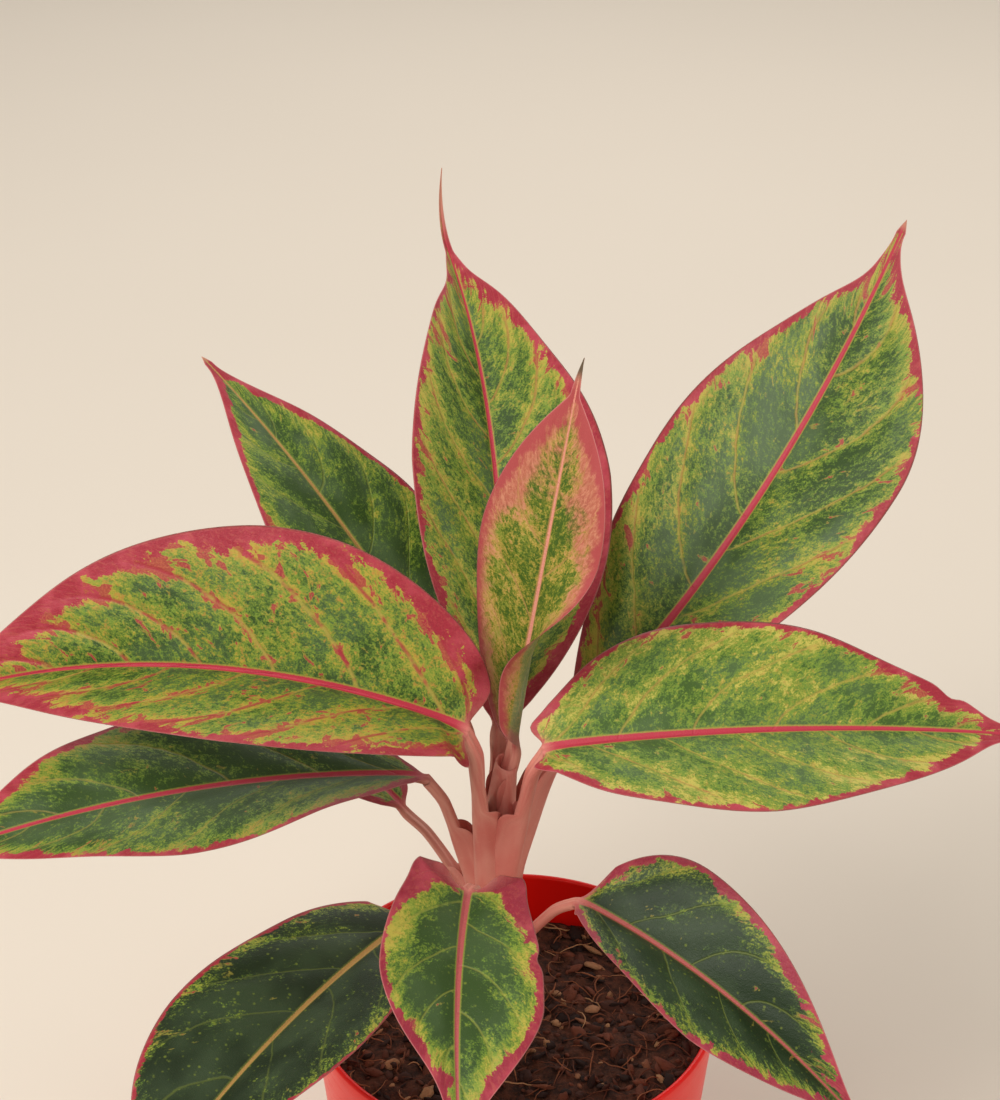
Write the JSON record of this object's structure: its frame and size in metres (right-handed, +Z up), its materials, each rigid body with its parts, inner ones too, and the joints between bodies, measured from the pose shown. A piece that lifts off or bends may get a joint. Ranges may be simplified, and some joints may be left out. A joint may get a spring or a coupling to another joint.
{
  "type": "potted chinese evergreen",
  "caption": "Young red-edged aglaonema house plant with broad drip-tipped leaves on pink stalks, growing in a round tapered plastic nursery pot.",
  "frame": {"origin": "centre of the pot's flat base, on the surface that it stands on", "axes": "+Z up along the pot's axis; -Y towards the plant's front, where the hanging front leaf is; +X to the right seen from the front"},
  "size_m": [0.3252, 0.2911, 0.3301],
  "materials": {
    "pot_plastic": "satin",
    "potting_soil": "matte",
    "stem_skin": "satin",
    "leaf_variegated": "satin",
    "leaf_dark": "satin",
    "leaf_young": "satin"
  },
  "bodies": {
    "root": {"pot": "pot_plastic", "soil": "potting_soil", "stem": "stem_skin", "leaf_back_left": "leaf_dark", "leaf_back_tall": "leaf_variegated", "leaf_back_right": "leaf_variegated", "leaf_centre_new": "leaf_young", "leaf_left": "leaf_variegated", "leaf_right": "leaf_variegated", "leaf_low_left": "leaf_variegated", "leaf_low_back_left": "leaf_variegated", "leaf_front_left": "leaf_dark", "leaf_front": "leaf_variegated", "leaf_front_right": "leaf_dark"}
  },
  "joints": []
}
